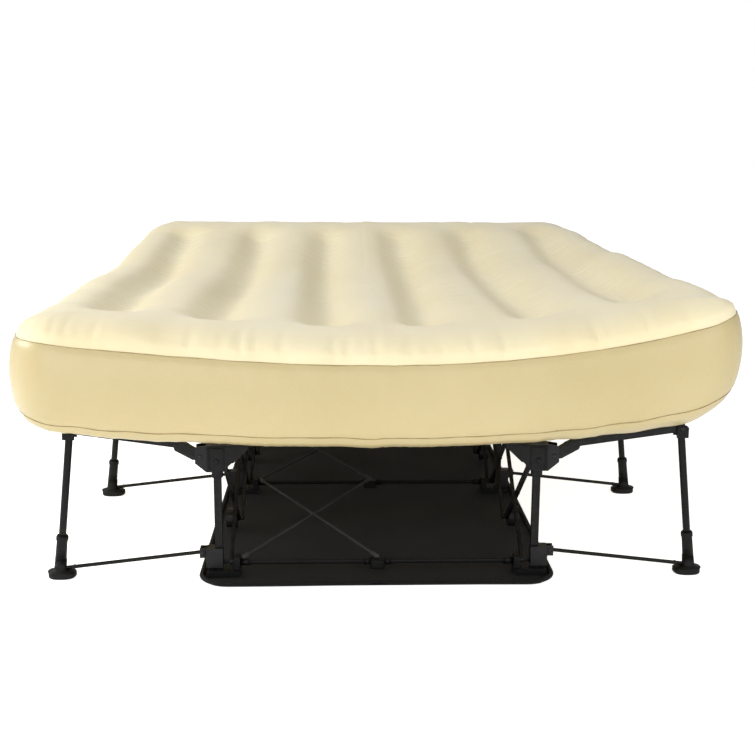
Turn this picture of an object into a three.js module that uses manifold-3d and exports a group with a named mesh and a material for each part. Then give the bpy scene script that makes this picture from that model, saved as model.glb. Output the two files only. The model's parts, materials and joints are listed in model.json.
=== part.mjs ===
// Self-standing air mattress: an inflated queen-size mattress on a folding scissor frame.
// Millimetres, +Z up. X runs across the bed, Y runs from the foot end to the head end.
// The origin is on the floor, under the middle of the bed.
import * as THREE from "three";
import { mergeVertices } from "three/addons/utils/BufferGeometryUtils.js";
import Module from "manifold-3d";

const wasm = await Module();
wasm.setup();

// ---- driving dimensions ----
const ROW_PITCH = 300; // from one scissor row to the next
const ROWS = 7; // rows 0, 2, 4 and 6 carry posts; rows 1, 3 and 5 are scissor joints only
const BAYS = ROWS - 1;
const POST_X = 350; // centre of the post, left and right
const POST_SIDE = 16;
const LOW_PIVOT_Z = 32;
const HIGH_PIVOT_Z = 248;
const INNER_BAR_X = 320; // inner face of the inner scissor bar
const OUTER_BAR_X = 329; // inner face of the outer scissor bar
const BAR_THICK = 7;
const BAR_HALF = 7; // half of a bar's width
const PIN_R = 4;
const HOLE_R = 4.8;
const ARM_ROOT = { x: 385, z: 275 };
const ARM_TIP = { x: 665, z: 335 };
const STRUT_ROOT = { x: 385, z: 55 };
const STRUT_TIP = { x: 670, z: 22 };
const LEG_FOOT = { x: 702, z: 8 };
const SHEET = { halfX: 395, halfY: 975, corner: 70, thick: 3, rim: 10, rimHigh: 8 };
const MATTRESS = { halfX: 765, halfY: 1000, corner: 110, bulge: 18, wall: 1.2 };
// Seam heights at the foot end's middle, their rise to both sides, and how much the right side leans up.
const SEAM = { low: 338, high: 493, rise: 78, lean: 25 };
const HEAD = { high: 600, from: 100, to: 950 }; // the top seam climbs to a level head end
const BELLY = 38; // how far the bottom hangs below its seam
const CROWN = 54; // how far the top stands above its seam
const MIDDLE = ROW_PITCH * BAYS / 2;

const rowY = (row) => row * ROW_PITCH - MIDDLE;

// ---- materials ----
const paint = (color, roughness, metalness) =>
  new THREE.MeshStandardMaterial({ color, roughness, metalness });
const steel = paint(0x1c1c1e, 0.45, 0.6);
const plastic = paint(0x171718, 0.6, 0);
const nylon = paint(0x1a1a1d, 0.9, 0);
const vinyl = paint(0xe6d3a0, 0.5, 0);
const cord = paint(0x2a2a2c, 0.8, 0);

const bed = new THREE.Group();

function add(name, solid, material) {
  const mesh = new THREE.Mesh(toGeometry(solid), material);
  mesh.name = name;
  bed.add(mesh);
}

// ---- solids ----
function toSolid(geometry) {
  const bare = geometry.index ? geometry.toNonIndexed() : geometry.clone();
  bare.deleteAttribute("normal");
  bare.deleteAttribute("uv");
  const merged = mergeVertices(bare, 1e-3);
  return new wasm.Manifold(new wasm.Mesh({
    numProp: 3,
    vertProperties: new Float32Array(merged.attributes.position.array),
    triVerts: new Uint32Array(merged.index.array),
  }));
}

function toGeometry(solid) {
  const mesh = solid.getMesh();
  const geometry = new THREE.BufferGeometry();
  const points = new Float32Array(mesh.numVert * 3);
  for (let i = 0; i < mesh.numVert; i++) {
    points.set(mesh.vertProperties.subarray(i * mesh.numProp, i * mesh.numProp + 3), i * 3);
  }
  geometry.setAttribute("position", new THREE.BufferAttribute(points, 3));
  geometry.setIndex(new THREE.BufferAttribute(new Uint32Array(mesh.triVerts), 1));
  return geometry;
}

const join = (...solids) => solids.reduce((whole, next) => whole.add(next));

// A box from its low corner to its high corner.
function box([x0, y0, z0], [x1, y1, z1]) {
  const shape = new THREE.BoxGeometry(x1 - x0, y1 - y0, z1 - z0);
  return toSolid(shape.translate((x0 + x1) / 2, (y0 + y1) / 2, (z0 + z1) / 2));
}

// A round bar between two points, or a cone when the second radius is given.
function rod(from, to, radius, sides = 10, endRadius = radius) {
  const start = new THREE.Vector3(...from);
  const along = new THREE.Vector3(...to).sub(start);
  const shape = new THREE.CylinderGeometry(endRadius, radius, along.length(), sides);
  shape.translate(0, along.length() / 2, 0);
  const turn = new THREE.Quaternion().setFromUnitVectors(
    new THREE.Vector3(0, 1, 0), along.clone().normalize());
  return toSolid(shape.applyQuaternion(turn).translate(...from));
}

// An outline in the XZ plane, given as [x, z] points, as thick as y0 to y1.
function plateXZ(points, y0, y1) {
  const outline = new THREE.Shape(points.map(([x, z]) => new THREE.Vector2(x, z)));
  const shape = new THREE.ExtrudeGeometry(outline, { depth: y1 - y0, bevelEnabled: false });
  return toSolid(shape.rotateX(Math.PI / 2).translate(0, y1, 0));
}

// A bar with round ends in the YZ plane from one pivot to the other, between x0 and x1.
function linkYZ(a, b, half, x0, x1) {
  const along = Math.atan2(b.z - a.z, b.y - a.y);
  const outline = new THREE.Shape();
  outline.absarc(b.y, b.z, half, along - Math.PI / 2, along + Math.PI / 2, false);
  outline.absarc(a.y, a.z, half, along + Math.PI / 2, along + 3 * Math.PI / 2, false);
  const shape = new THREE.ExtrudeGeometry(
    outline, { depth: x1 - x0, bevelEnabled: false, curveSegments: 6 });
  const turn = new THREE.Matrix4().makeBasis(
    new THREE.Vector3(0, 1, 0), new THREE.Vector3(0, 0, 1), new THREE.Vector3(1, 0, 0));
  return toSolid(shape.applyMatrix4(turn).translate(x0, 0, 0));
}

// A bar with round ends in the XZ plane.
function linkXZ(a, b, half, y0, y1) {
  const along = Math.atan2(b.z - a.z, b.x - a.x);
  const outline = new THREE.Shape();
  outline.absarc(b.x, b.z, half, along - Math.PI / 2, along + Math.PI / 2, false);
  outline.absarc(a.x, a.z, half, along + Math.PI / 2, along + 3 * Math.PI / 2, false);
  const shape = new THREE.ExtrudeGeometry(
    outline, { depth: y1 - y0, bevelEnabled: false, curveSegments: 6 });
  return toSolid(shape.rotateX(Math.PI / 2).translate(0, y1, 0));
}

// The same piece on the left side.
const mirrored = (solid) => solid.mirror([1, 0, 0]);
const moved = (solid, y) => solid.translate([0, y, 0]);

// ---- scissors ----
const low = (row) => ({ y: rowY(row), z: LOW_PIVOT_Z });
const high = (row) => ({ y: rowY(row), z: HIGH_PIVOT_Z });
const pinX = (at, x0, x1, radius = PIN_R) => rod([x0, at.y, at.z], [x1, at.y, at.z], radius);
const holeX = (at) => pinX(at, INNER_BAR_X - 1, OUTER_BAR_X + BAR_THICK + 1, HOLE_R);
const crossing = (bay) => ({
  y: (rowY(bay) + rowY(bay + 1)) / 2,
  z: (LOW_PIVOT_Z + HIGH_PIVOT_Z) / 2,
});

const OUTER_FACE = OUTER_BAR_X + BAR_THICK;
const PIN_END = OUTER_FACE + 3;
const TOP_PIN_END = 345; // the top pins reach into a bore in the post

// The bare right-hand bars of a bay: each runs from a pivot of its first row to one of the next.
const outerLink = (bay) =>
  linkYZ(low(bay + 1), high(bay), BAR_HALF, OUTER_BAR_X, OUTER_BAR_X + BAR_THICK);
const innerLink = (bay) =>
  linkYZ(low(bay), high(bay + 1), BAR_HALF, INNER_BAR_X, INNER_BAR_X + BAR_THICK);

// The outer bar turns on a pin of the inner bar where they cross.
const outerBar = (bay) => outerLink(bay).subtract(holeX(crossing(bay)));
const innerBar = (bay) => join(innerLink(bay), pinX(crossing(bay), INNER_BAR_X + 1, PIN_END));

const HUB_FOOT = { r: 24, wide: 25, sides: 20 }; // the round foot of each scissor joint that has no post
const CROSS_ROD_R = 5;
const LAST_BAY = BAYS - 1;

// An outer bar that starts at a post, with its pin in the post, its round foot and its foot pin.
function outerSide(bay) {
  const { y, z } = low(bay + 1);
  return join(
    outerBar(bay),
    pinX(high(bay), OUTER_BAR_X + 1, TOP_PIN_END),
    rod([OUTER_FACE - 1, y, z], [OUTER_FACE + HUB_FOOT.wide, y, z], HUB_FOOT.r, HUB_FOOT.sides),
    pinX(low(bay + 1), INNER_BAR_X - 2, OUTER_BAR_X + 1),
  );
}

// Both sides with the cross rod between them, which runs from one bar's inner face to the other's.
function tied(side, at, barX, radius = PIN_R) {
  return join(side, mirrored(side), pinX(at, -barX - 1, barX + 1, radius));
}

// Inner bars that end at a scissor joint, or at the last post: both sides and their cross rod.
function innerFrame(bay) {
  const top = high(bay + 1);
  const last = bay === LAST_BAY;
  const bar = last ? innerLink(bay).subtract(holeX(crossing(bay))) : innerBar(bay);
  const side = join(
    bar.subtract(holeX(low(bay))),
    pinX(top, INNER_BAR_X + 1, last ? TOP_PIN_END : PIN_END),
  );
  return tied(side, top, INNER_BAR_X, CROSS_ROD_R);
}

function addPair(name, number, solid) {
  add(`${name}_right_${number}`, solid, steel);
  add(`${name}_left_${number}`, mirrored(solid), steel);
}

for (let bay = 0; bay < BAYS; bay++) {
  const startsAtPost = bay % 2 === 0;
  const number = bay + 1;
  if (bay === 0) {
    addPair("outer_bar", number, outerSide(bay));
  } else if (startsAtPost) {
    add(`outer_scissor_frame_${number}`, tied(outerSide(bay), high(bay), OUTER_BAR_X), steel);
  } else if (bay < LAST_BAY) {
    addPair("outer_bar", number, outerBar(bay).subtract(holeX(high(bay))).subtract(holeX(low(bay + 1))));
  } else {
    // The last outer bars are tied by the rod on which the inner ones turn.
    const outer = outerLink(bay).subtract(holeX(high(bay))).subtract(holeX(low(bay + 1)));
    add(`outer_scissor_frame_${number}`, tied(outer, crossing(bay), OUTER_BAR_X), steel);
  }
  if (startsAtPost || bay === LAST_BAY) {
    add(`inner_scissor_frame_${number}`, innerFrame(bay), steel);
  } else {
    addPair("inner_bar", number, innerBar(bay).subtract(holeX(low(bay))).subtract(holeX(high(bay + 1))));
  }
}

// ---- base rails: two foot blocks on the sheet, joined by the floor rod with its centre hub ----
const BLOCK = { x0: 304, x1: 376, halfY: 24, z0: 4.4, z1: 17 };
const EAR = { x1: INNER_BAR_X - 2, halfY: 16, z1: 44 };
const FLOOR_ROD = { r: 5, z: 30 };
const HUB = { halfX: 14, halfY: 12, z0: 18, z1: 36 };
function baseRail() {
  const end = join(
    box([BLOCK.x0, -BLOCK.halfY, BLOCK.z0], [BLOCK.x1, BLOCK.halfY, BLOCK.z1]),
    box([BLOCK.x0, -EAR.halfY, BLOCK.z0 + 5], [EAR.x1, EAR.halfY, EAR.z1]),
    rod([EAR.x1 - 1, 0, LOW_PIVOT_Z], [PIN_END, 0, LOW_PIVOT_Z], PIN_R),
  );
  const rodEnd = BLOCK.x0 + 1;
  const floorRod = rod([-rodEnd, 0, FLOOR_ROD.z], [rodEnd, 0, FLOOR_ROD.z], FLOOR_ROD.r);
  const hub = box([-HUB.halfX, -HUB.halfY, HUB.z0], [HUB.halfX, HUB.halfY, HUB.z1]);
  return join(end, mirrored(end), floorRod, hub);
}

// ---- posts: square tube, top bracket with the arm's ears, lower fitting with the strut's ears ----
// The bracket's outline: a broad head that slopes in to the post, and two ears past the arm's hinge.
const BRACKET = {
  inner: 283, throat: 314, neck: 342, outer: 372, ear: 396,
  top: 301, earTop: 297, lip: 292, slope: 262, low: 242, half: 17,
};
const FITTING = { inner: 341, outer: 378, low: 22, top: 66, half: 14 };
const STRUT_EAR = { x0: 370, x1: 392, z0: 44, inside: 6, outside: 11, pinR: 3 };
const ARM_SLOT = { from: 373.5, to: 400, low: 230, high: 310, half: 11.5 };
const POST_Z = { low: 20, high: 272 };
function post() {
  const bracket = plateXZ([
    [BRACKET.inner, BRACKET.lip], [BRACKET.throat, BRACKET.slope], [BRACKET.neck, BRACKET.slope],
    [BRACKET.neck, BRACKET.low], [BRACKET.outer, BRACKET.low], [BRACKET.ear, BRACKET.slope],
    [BRACKET.ear, BRACKET.earTop], [BRACKET.outer, BRACKET.top], [BRACKET.inner, BRACKET.top],
  ], -BRACKET.half, BRACKET.half);
  const armSlot = box(
    [ARM_SLOT.from, -ARM_SLOT.half, ARM_SLOT.low], [ARM_SLOT.to, ARM_SLOT.half, ARM_SLOT.high]);
  const armPin = rod(
    [ARM_ROOT.x, -BRACKET.half, ARM_ROOT.z], [ARM_ROOT.x, BRACKET.half, ARM_ROOT.z], PIN_R);
  const bore = rod([BRACKET.neck - 5, 0, HIGH_PIVOT_Z], [TOP_PIN_END + 2, 0, HIGH_PIVOT_Z], HOLE_R);
  const half = POST_SIDE / 2;
  const tube = box([POST_X - half, -half, POST_Z.low], [POST_X + half, half, POST_Z.high]);
  const fitting = box(
    [FITTING.inner, -FITTING.half, FITTING.low], [FITTING.outer, FITTING.half, FITTING.top]);
  const earBetween = (y0, y1) => box([STRUT_EAR.x0, y0, STRUT_EAR.z0], [STRUT_EAR.x1, y1, FITTING.top]);
  const ears = join(
    earBetween(STRUT_EAR.inside, STRUT_EAR.outside), earBetween(-STRUT_EAR.outside, -STRUT_EAR.inside));
  const strutPin = rod([STRUT_ROOT.x, -STRUT_EAR.outside, STRUT_ROOT.z],
    [STRUT_ROOT.x, STRUT_EAR.outside, STRUT_ROOT.z], STRUT_EAR.pinR);
  return join(
    bracket.subtract(armSlot), armPin, tube, fitting, ears, strutPin,
  ).subtract(bore);
}

// ---- outriggers: arm, leg with sleeve and pad, strut ----
const holeY = (at, radius) => rod([at.x, -20, at.z], [at.x, 20, at.z], radius);

// The arm: a cranked tube with a broad wedge round the crank, given as an outline of [x, z] points.
const ARM = { half: 7.5, halfY: 10, knee: { x: 430, z: 302 } };
const WEDGE = [[390, 268], [402, 268], [440, 289], [445, 303], [430, 309], [412, 301], [398, 288]];
function arm() {
  const run = (from, to) => linkXZ(from, to, ARM.half, -ARM.halfY, ARM.halfY);
  return join(run(ARM_ROOT, ARM.knee), run(ARM.knee, ARM_TIP), plateXZ(WEDGE, -ARM.halfY, ARM.halfY))
    .subtract(holeY(ARM_ROOT, HOLE_R))
    .subtract(holeY(ARM_TIP, HOLE_R));
}

// A point of the leg's axis, as far below the arm's tip as given.
const LEG_SLOPE = (LEG_FOOT.x - ARM_TIP.x) / (LEG_FOOT.z - ARM_TIP.z);
const onLeg = (drop) => [ARM_TIP.x - drop * LEG_SLOPE, 0, ARM_TIP.z - drop];

const FORK = { depth: 12, web: 6, halfY: 16, inside: 11.5, inner: 12, outer: 14, above: 7.5, clear: 30 };
// Room for the arm as it folds: an outline measured from the pivot at the arm's tip.
const SWING = [[0.9, -12], [-4.5, -18], [-11.7, -26], [-30, -26], [-30, -12]];
const SLEEVE = { from: 240, to: 319, lap: 22, r: 11.5 };
const LEG_R = 8.5;
const PAD = { inner: 38, outer: 24, halfY: 24, thick: 13, bossLow: 21, bossHigh: 15, bossTop: 24 };
const NOTCH = { from: 50, to: 15, halfY: 6 }; // open slot in the pad, where the strut's tip rests
function leg() {
  const forkLow = ARM_TIP.z - FORK.depth;
  const fork = plateXZ([
    [ARM_TIP.x - FORK.inner, ARM_TIP.z + FORK.above], [ARM_TIP.x - FORK.inner, forkLow - FORK.web],
    [ARM_TIP.x + FORK.outer, forkLow - FORK.web], [ARM_TIP.x + FORK.outer, ARM_TIP.z + FORK.above],
  ], -FORK.halfY, FORK.halfY).subtract(box(
    [ARM_TIP.x - FORK.clear, -FORK.inside, forkLow],
    [ARM_TIP.x + FORK.clear, FORK.inside, ARM_TIP.z + FORK.clear]));
  const pin = rod([ARM_TIP.x, -FORK.halfY, ARM_TIP.z], [ARM_TIP.x, FORK.halfY, ARM_TIP.z], PIN_R);
  const tube = rod(onLeg(FORK.depth + FORK.web / 2), onLeg(SLEEVE.from + SLEEVE.lap), LEG_R);
  const sleeve = rod(onLeg(SLEEVE.from), onLeg(SLEEVE.to), SLEEVE.r, 16);
  const pad = box(
    [LEG_FOOT.x - PAD.inner, -PAD.halfY, 0], [LEG_FOOT.x + PAD.outer, PAD.halfY, PAD.thick]);
  const boss = rod([LEG_FOOT.x, 0, PAD.thick - 3], [LEG_FOOT.x - 1.5, 0, PAD.bossTop],
    PAD.bossLow, 16, PAD.bossHigh);
  const notch = box([LEG_FOOT.x - NOTCH.from, -NOTCH.halfY, -5], [LEG_FOOT.x - NOTCH.to, NOTCH.halfY, 50]);
  const swingRoom = plateXZ(
    SWING.map(([x, z]) => [ARM_TIP.x + x, ARM_TIP.z + z]), -FORK.inside, FORK.inside);
  return join(join(fork, tube).subtract(swingRoom), pin, sleeve, join(pad, boss).subtract(notch));
}

const STRUT = { r: 3, eyeR: 6.2, eyeHalf: 4.5, tipR: 4.5, tipHalf: 4, holeR: 3.8 };
function strut() {
  const shaft = rod([STRUT_ROOT.x, 0, STRUT_ROOT.z], [STRUT_TIP.x, 0, STRUT_TIP.z], STRUT.r);
  const acrossY = (at, half, radius) => rod([at.x, -half, at.z], [at.x, half, at.z], radius);
  const eye = acrossY(STRUT_ROOT, STRUT.eyeHalf, STRUT.eyeR);
  const tip = acrossY(STRUT_TIP, STRUT.tipHalf, STRUT.tipR);
  return join(shaft, eye, tip).subtract(holeY(STRUT_ROOT, STRUT.holeR));
}

const rightHand = { post: post(), arm: arm(), leg: leg(), strut: strut() };
for (let station = 0; station < 4; station++) {
  const y = rowY(station * 2);
  add(`base_rail_${station + 1}`, moved(baseRail(), y), plastic);
  for (const [name, solid] of Object.entries(rightHand)) {
    add(`${name}_right_${station + 1}`, moved(solid, y), steel);
    add(`${name}_left_${station + 1}`, moved(mirrored(solid), y), steel);
  }
}

// ---- elastic crosses between the posts' rows, above the floor rods, on the left half ----
const CROSS = { z: 40, r: 3, knobR: 5, blockX: -296, hubX: -2, short: 6 };
for (let station = 0; station < 3; station++) {
  const y0 = rowY(station * 2) + CROSS.short;
  const y1 = rowY(station * 2 + 2) - CROSS.short;
  const knob = (x, y) => rod([x, y, CROSS.z - CROSS.r], [x, y, CROSS.z + CROSS.r], CROSS.knobR);
  const cordFrom = (from, to) => join(
    rod([CROSS.blockX, from, CROSS.z], [CROSS.hubX, to, CROSS.z], CROSS.r, 8),
    knob(CROSS.blockX, from),
    knob(CROSS.hubX, to),
  );
  add(`elastic_cross_${station + 1}`, join(cordFrom(y0, y1), cordFrom(y1, y0)), cord);
}

// ---- ground sheet with its bound edge ----
function roundedRect(halfX, halfY, corner) {
  const shape = new THREE.Shape();
  shape.absarc(halfX - corner, halfY - corner, corner, 0, Math.PI / 2, false);
  shape.absarc(corner - halfX, halfY - corner, corner, Math.PI / 2, Math.PI, false);
  shape.absarc(corner - halfX, corner - halfY, corner, Math.PI, 1.5 * Math.PI, false);
  shape.absarc(halfX - corner, corner - halfY, corner, 1.5 * Math.PI, 2 * Math.PI, false);
  return shape;
}
const slab = (outline, depth) =>
  toSolid(new THREE.ExtrudeGeometry(outline, { depth, bevelEnabled: false, curveSegments: 6 }));
const { halfX, halfY, corner, thick, rim, rimHigh } = SHEET;
const rimRing = slab(roundedRect(halfX, halfY, corner), rimHigh)
  .subtract(slab(roundedRect(halfX - rim, halfY - rim, corner - rim), 2 * rimHigh)
    .translate([0, 0, -1]));
add("ground_sheet", join(rimRing, slab(roundedRect(halfX - 1, halfY - 1, corner), thick)), nylon);

// ---- mattress: a thin welded shell with the pump's port in the head-end wall ----
const sag = (x) => (x / MATTRESS.halfX) ** 2;
const lean = (x) => SEAM.lean * (x / MATTRESS.halfX) ** 3; // the left side sits lower than the right
const levelSeam = (x) => SEAM.low + SEAM.rise * (0.64 * sag(x) + 0.32 * sag(x) ** 4);
const bottomSeam = (x) => levelSeam(x) + lean(x);
const topSeam = (x, y) => {
  const foot = SEAM.high + SEAM.rise * sag(x) + lean(x);
  return foot + (HEAD.high - foot) * THREE.MathUtils.smoothstep(y, HEAD.from, HEAD.to);
};
// Each ring of the shell: how far outside the seam line it lies, and its height at a given x.
const wallAt = (share, out) =>
  ({ out, z: (x, y) => bottomSeam(x) + (topSeam(x, y) - bottomSeam(x)) * share });
const RINGS = [
  { out: -480, z: (x) => levelSeam(x) - BELLY },
  { out: -150, z: (x) => levelSeam(x) - BELLY + 1 },
  { out: -50, z: (x) => levelSeam(x) + lean(x) / 2 - 0.8 * BELLY },
  wallAt(0, 0), wallAt(0.25, 0.75 * MATTRESS.bulge), wallAt(0.5, MATTRESS.bulge),
  wallAt(0.75, 0.75 * MATTRESS.bulge), wallAt(1, 0),
  { out: -35, z: (x, y) => topSeam(x, y) + 0.6 * CROWN },
  { out: -110, z: (x, y) => topSeam(x, y) + 0.96 * CROWN },
  { out: -480, z: (x, y) => topSeam(x, y) + CROWN },
];
const CORNER_STEPS = 5;
const SIDE_STEPS = { x: 12, y: 16 };

// The plan outline at a ring, as points that keep their places from ring to ring.
function outlineAt(out) {
  const turn = Math.max(MATTRESS.corner + out, 20);
  const flatX = MATTRESS.halfX + out - turn;
  const flatY = MATTRESS.halfY + out - turn;
  const points = [];
  const side = (x0, y0, x1, y1, steps) => {
    for (let i = 0; i < steps; i++) {
      points.push([x0 + (x1 - x0) * i / steps, y0 + (y1 - y0) * i / steps]);
    }
  };
  const arc = (cx, cy, from) => {
    for (let i = 0; i < CORNER_STEPS; i++) {
      const angle = from + (Math.PI / 2) * i / CORNER_STEPS;
      points.push([cx + turn * Math.cos(angle), cy + turn * Math.sin(angle)]);
    }
  };
  side(flatX + turn, -flatY, flatX + turn, flatY, SIDE_STEPS.y);
  arc(flatX, flatY, 0);
  side(flatX, flatY + turn, -flatX, flatY + turn, SIDE_STEPS.x);
  arc(-flatX, flatY, Math.PI / 2);
  side(-flatX - turn, flatY, -flatX - turn, -flatY, SIDE_STEPS.y);
  arc(-flatX, -flatY, Math.PI);
  side(-flatX, -flatY - turn, flatX, -flatY - turn, SIDE_STEPS.x);
  arc(flatX, -flatY, 1.5 * Math.PI);
  return points;
}

// The port lies in the head-end wall, on the +X side of the middle: two outline steps, two wall rings.
const PORT = { column: SIDE_STEPS.y + CORNER_STEPS + SIDE_STEPS.x / 2 - 2, columns: 2, ring: 4, rings: 2 };
const inPort = (ring, column) =>
  ring >= PORT.ring && ring < PORT.ring + PORT.rings
  && column >= PORT.column && column < PORT.column + PORT.columns;

function bladder() {
  const rings = RINGS.map(({ out, z }) => outlineAt(out).map(([x, y]) => [x, y, z(x, y)]));
  const columns = rings[0].length;
  const outer = [[0, 0, bottomSeam(0) - BELLY], ...rings.flat(), [0, 0, topSeam(0, 0) + CROWN]];
  const top = outer.length - 1;
  const at = (ring, column) => 1 + ring * columns + (column % columns);
  const skin = [];
  for (let c = 0; c < columns; c++) {
    skin.push([0, at(0, c + 1), at(0, c)]);
    skin.push([top, at(rings.length - 1, c), at(rings.length - 1, c + 1)]);
    for (let r = 0; r < rings.length - 1; r++) {
      if (inPort(r, c)) continue;
      skin.push([at(r, c), at(r, c + 1), at(r + 1, c + 1)]);
      skin.push([at(r, c), at(r + 1, c + 1), at(r + 1, c)]);
    }
  }
  const whole = new THREE.BufferGeometry();
  whole.setAttribute("position", new THREE.Float32BufferAttribute(outer.flat(), 3));
  whole.setIndex(skin.flat());
  whole.computeVertexNormals();
  const normals = whole.attributes.normal;
  const inner = outer.map((p, i) => [
    p[0] - normals.getX(i) * MATTRESS.wall,
    p[1] - normals.getY(i) * MATTRESS.wall,
    p[2] - normals.getZ(i) * MATTRESS.wall,
  ]);
  const shift = outer.length;
  const faces = [...skin, ...skin.map(([a, b, c]) => [a + shift, c + shift, b + shift])];
  // The port's edge: every boundary edge of the skin is closed to its twin on the inside.
  const edges = new Set(skin.flatMap(([a, b, c]) => [`${a},${b}`, `${b},${c}`, `${c},${a}`]));
  for (const edge of edges) {
    const [a, b] = edge.split(",").map(Number);
    if (edges.has(`${b},${a}`)) continue;
    faces.push([b, a, a + shift], [b, a + shift, b + shift]);
  }
  const shell = new THREE.BufferGeometry();
  shell.setAttribute("position", new THREE.Float32BufferAttribute([...outer, ...inner].flat(), 3));
  shell.setIndex(faces.flat());
  return toSolid(shell);
}
add("mattress_bladder", bladder(), vinyl);

// ---- pump in the port, with its selector knob ----
const PUMP = { x: 109, z: 469, halfX: 96, halfZ: 54, face: 1020, back: 900 };
const KNOB = { x: 60, r: 26, deep: 12, grip: 5 };
add("pump_housing", box(
  [PUMP.x - PUMP.halfX, PUMP.back, PUMP.z - PUMP.halfZ],
  [PUMP.x + PUMP.halfX, PUMP.face, PUMP.z + PUMP.halfZ]), plastic);
add("pump_knob", join(
  rod([KNOB.x, PUMP.face + 0.4, PUMP.z], [KNOB.x, PUMP.face + KNOB.deep - 4, PUMP.z], KNOB.r, 24),
  box([KNOB.x - KNOB.grip, PUMP.face + 2, PUMP.z - KNOB.r + 3],
    [KNOB.x + KNOB.grip, PUMP.face + KNOB.deep, PUMP.z + KNOB.r - 3]),
), plastic);

export default bed;
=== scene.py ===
import json
import math

import bpy
import numpy as np
from mathutils import Matrix, Vector

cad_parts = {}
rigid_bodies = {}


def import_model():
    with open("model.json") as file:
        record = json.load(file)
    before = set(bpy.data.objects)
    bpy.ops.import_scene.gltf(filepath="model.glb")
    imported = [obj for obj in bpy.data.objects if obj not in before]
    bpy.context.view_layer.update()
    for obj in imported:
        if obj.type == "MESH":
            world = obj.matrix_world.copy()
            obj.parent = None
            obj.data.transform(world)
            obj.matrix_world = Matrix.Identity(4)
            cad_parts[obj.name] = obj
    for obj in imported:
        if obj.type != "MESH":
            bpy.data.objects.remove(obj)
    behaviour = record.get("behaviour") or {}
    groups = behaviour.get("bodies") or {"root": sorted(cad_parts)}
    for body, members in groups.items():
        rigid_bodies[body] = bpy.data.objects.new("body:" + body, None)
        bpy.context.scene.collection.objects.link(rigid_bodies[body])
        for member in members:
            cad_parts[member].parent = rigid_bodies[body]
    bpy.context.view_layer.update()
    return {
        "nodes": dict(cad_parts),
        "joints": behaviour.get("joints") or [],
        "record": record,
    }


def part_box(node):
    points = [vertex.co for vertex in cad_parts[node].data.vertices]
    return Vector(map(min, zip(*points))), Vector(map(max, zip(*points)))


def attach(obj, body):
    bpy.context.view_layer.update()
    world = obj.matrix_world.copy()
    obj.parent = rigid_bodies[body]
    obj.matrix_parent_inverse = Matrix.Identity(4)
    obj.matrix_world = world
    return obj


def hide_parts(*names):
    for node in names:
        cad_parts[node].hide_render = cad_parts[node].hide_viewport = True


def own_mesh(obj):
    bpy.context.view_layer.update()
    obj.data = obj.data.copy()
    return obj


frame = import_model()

JOINTS = frame["joints"]
NODES = frame["nodes"]

# ---- driving sizes ----
SPLIT_X = 0.374  # the mattress is made in three strips, split just inside the arms' hinges
# Each strip of the mattress: its X values and the body it rides on.
STRIPS = {
    "left": (-9.0, -SPLIT_X, "arm_left_2"),
    "middle": (-SPLIT_X, SPLIT_X, "post_right_2"),
    "right": (SPLIT_X, 9.0, "arm_right_2"),
}
HALF_X, HALF_Y = 0.765, 1.0  # the seam's outline
CORNER_R = 0.10
BULGE = 0.017  # how far the side wall stands out between its seams
CELL = 0.0075  # about the width of one face of the mattress's mesh
CHANNELS = (0.12, 0.36, 0.60)  # half-distances of the lengthwise grooves
CHANNEL_DEPTH, CHANNEL_WIDTH = 0.036, 0.058
PLEAT = 0.0024  # height of the fine cross wrinkles in the grooves
WALL_STEPS = 20  # faces from the top seam to the bottom one
CROWN, CROWN_REACH = 0.052, 0.12  # the top's rise above its seam, and how far in it gets there
BELLY, BELLY_REACH = 0.037, 0.10  # the same for the underside, downwards
SEAM_LOW, SEAM_HIGH, SEAM_RISE = 0.338, 0.493, 0.078  # heights at the foot end, rise to the sides
LEAN, LEAN_REACH = 0.025, 0.10  # how much the right side stands above the middle, and the left below
HEAD_HIGH, HEAD_FROM, HEAD_TO = 0.600, 0.10, 0.95  # the top climbs to a level head end
WELD_R = 0.0014

FLOOR_GLOW, FLOOR_GLOW_SEEN = 0.42, 0.72  # the floor's glow on the object, and to the camera

SIDES = (("right", 1), ("left", -1))
STATIONS = range(1, 5)  # the four rows with posts and legs, from the foot end


def fold_along(piece):
    """Gives a soft piece its own copy of its mesh."""
    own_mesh(piece)


def middle_y(node):
    """The Y value halfway along a CAD node."""
    low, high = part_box(node)
    return (low.y + high.y) / 2


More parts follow.
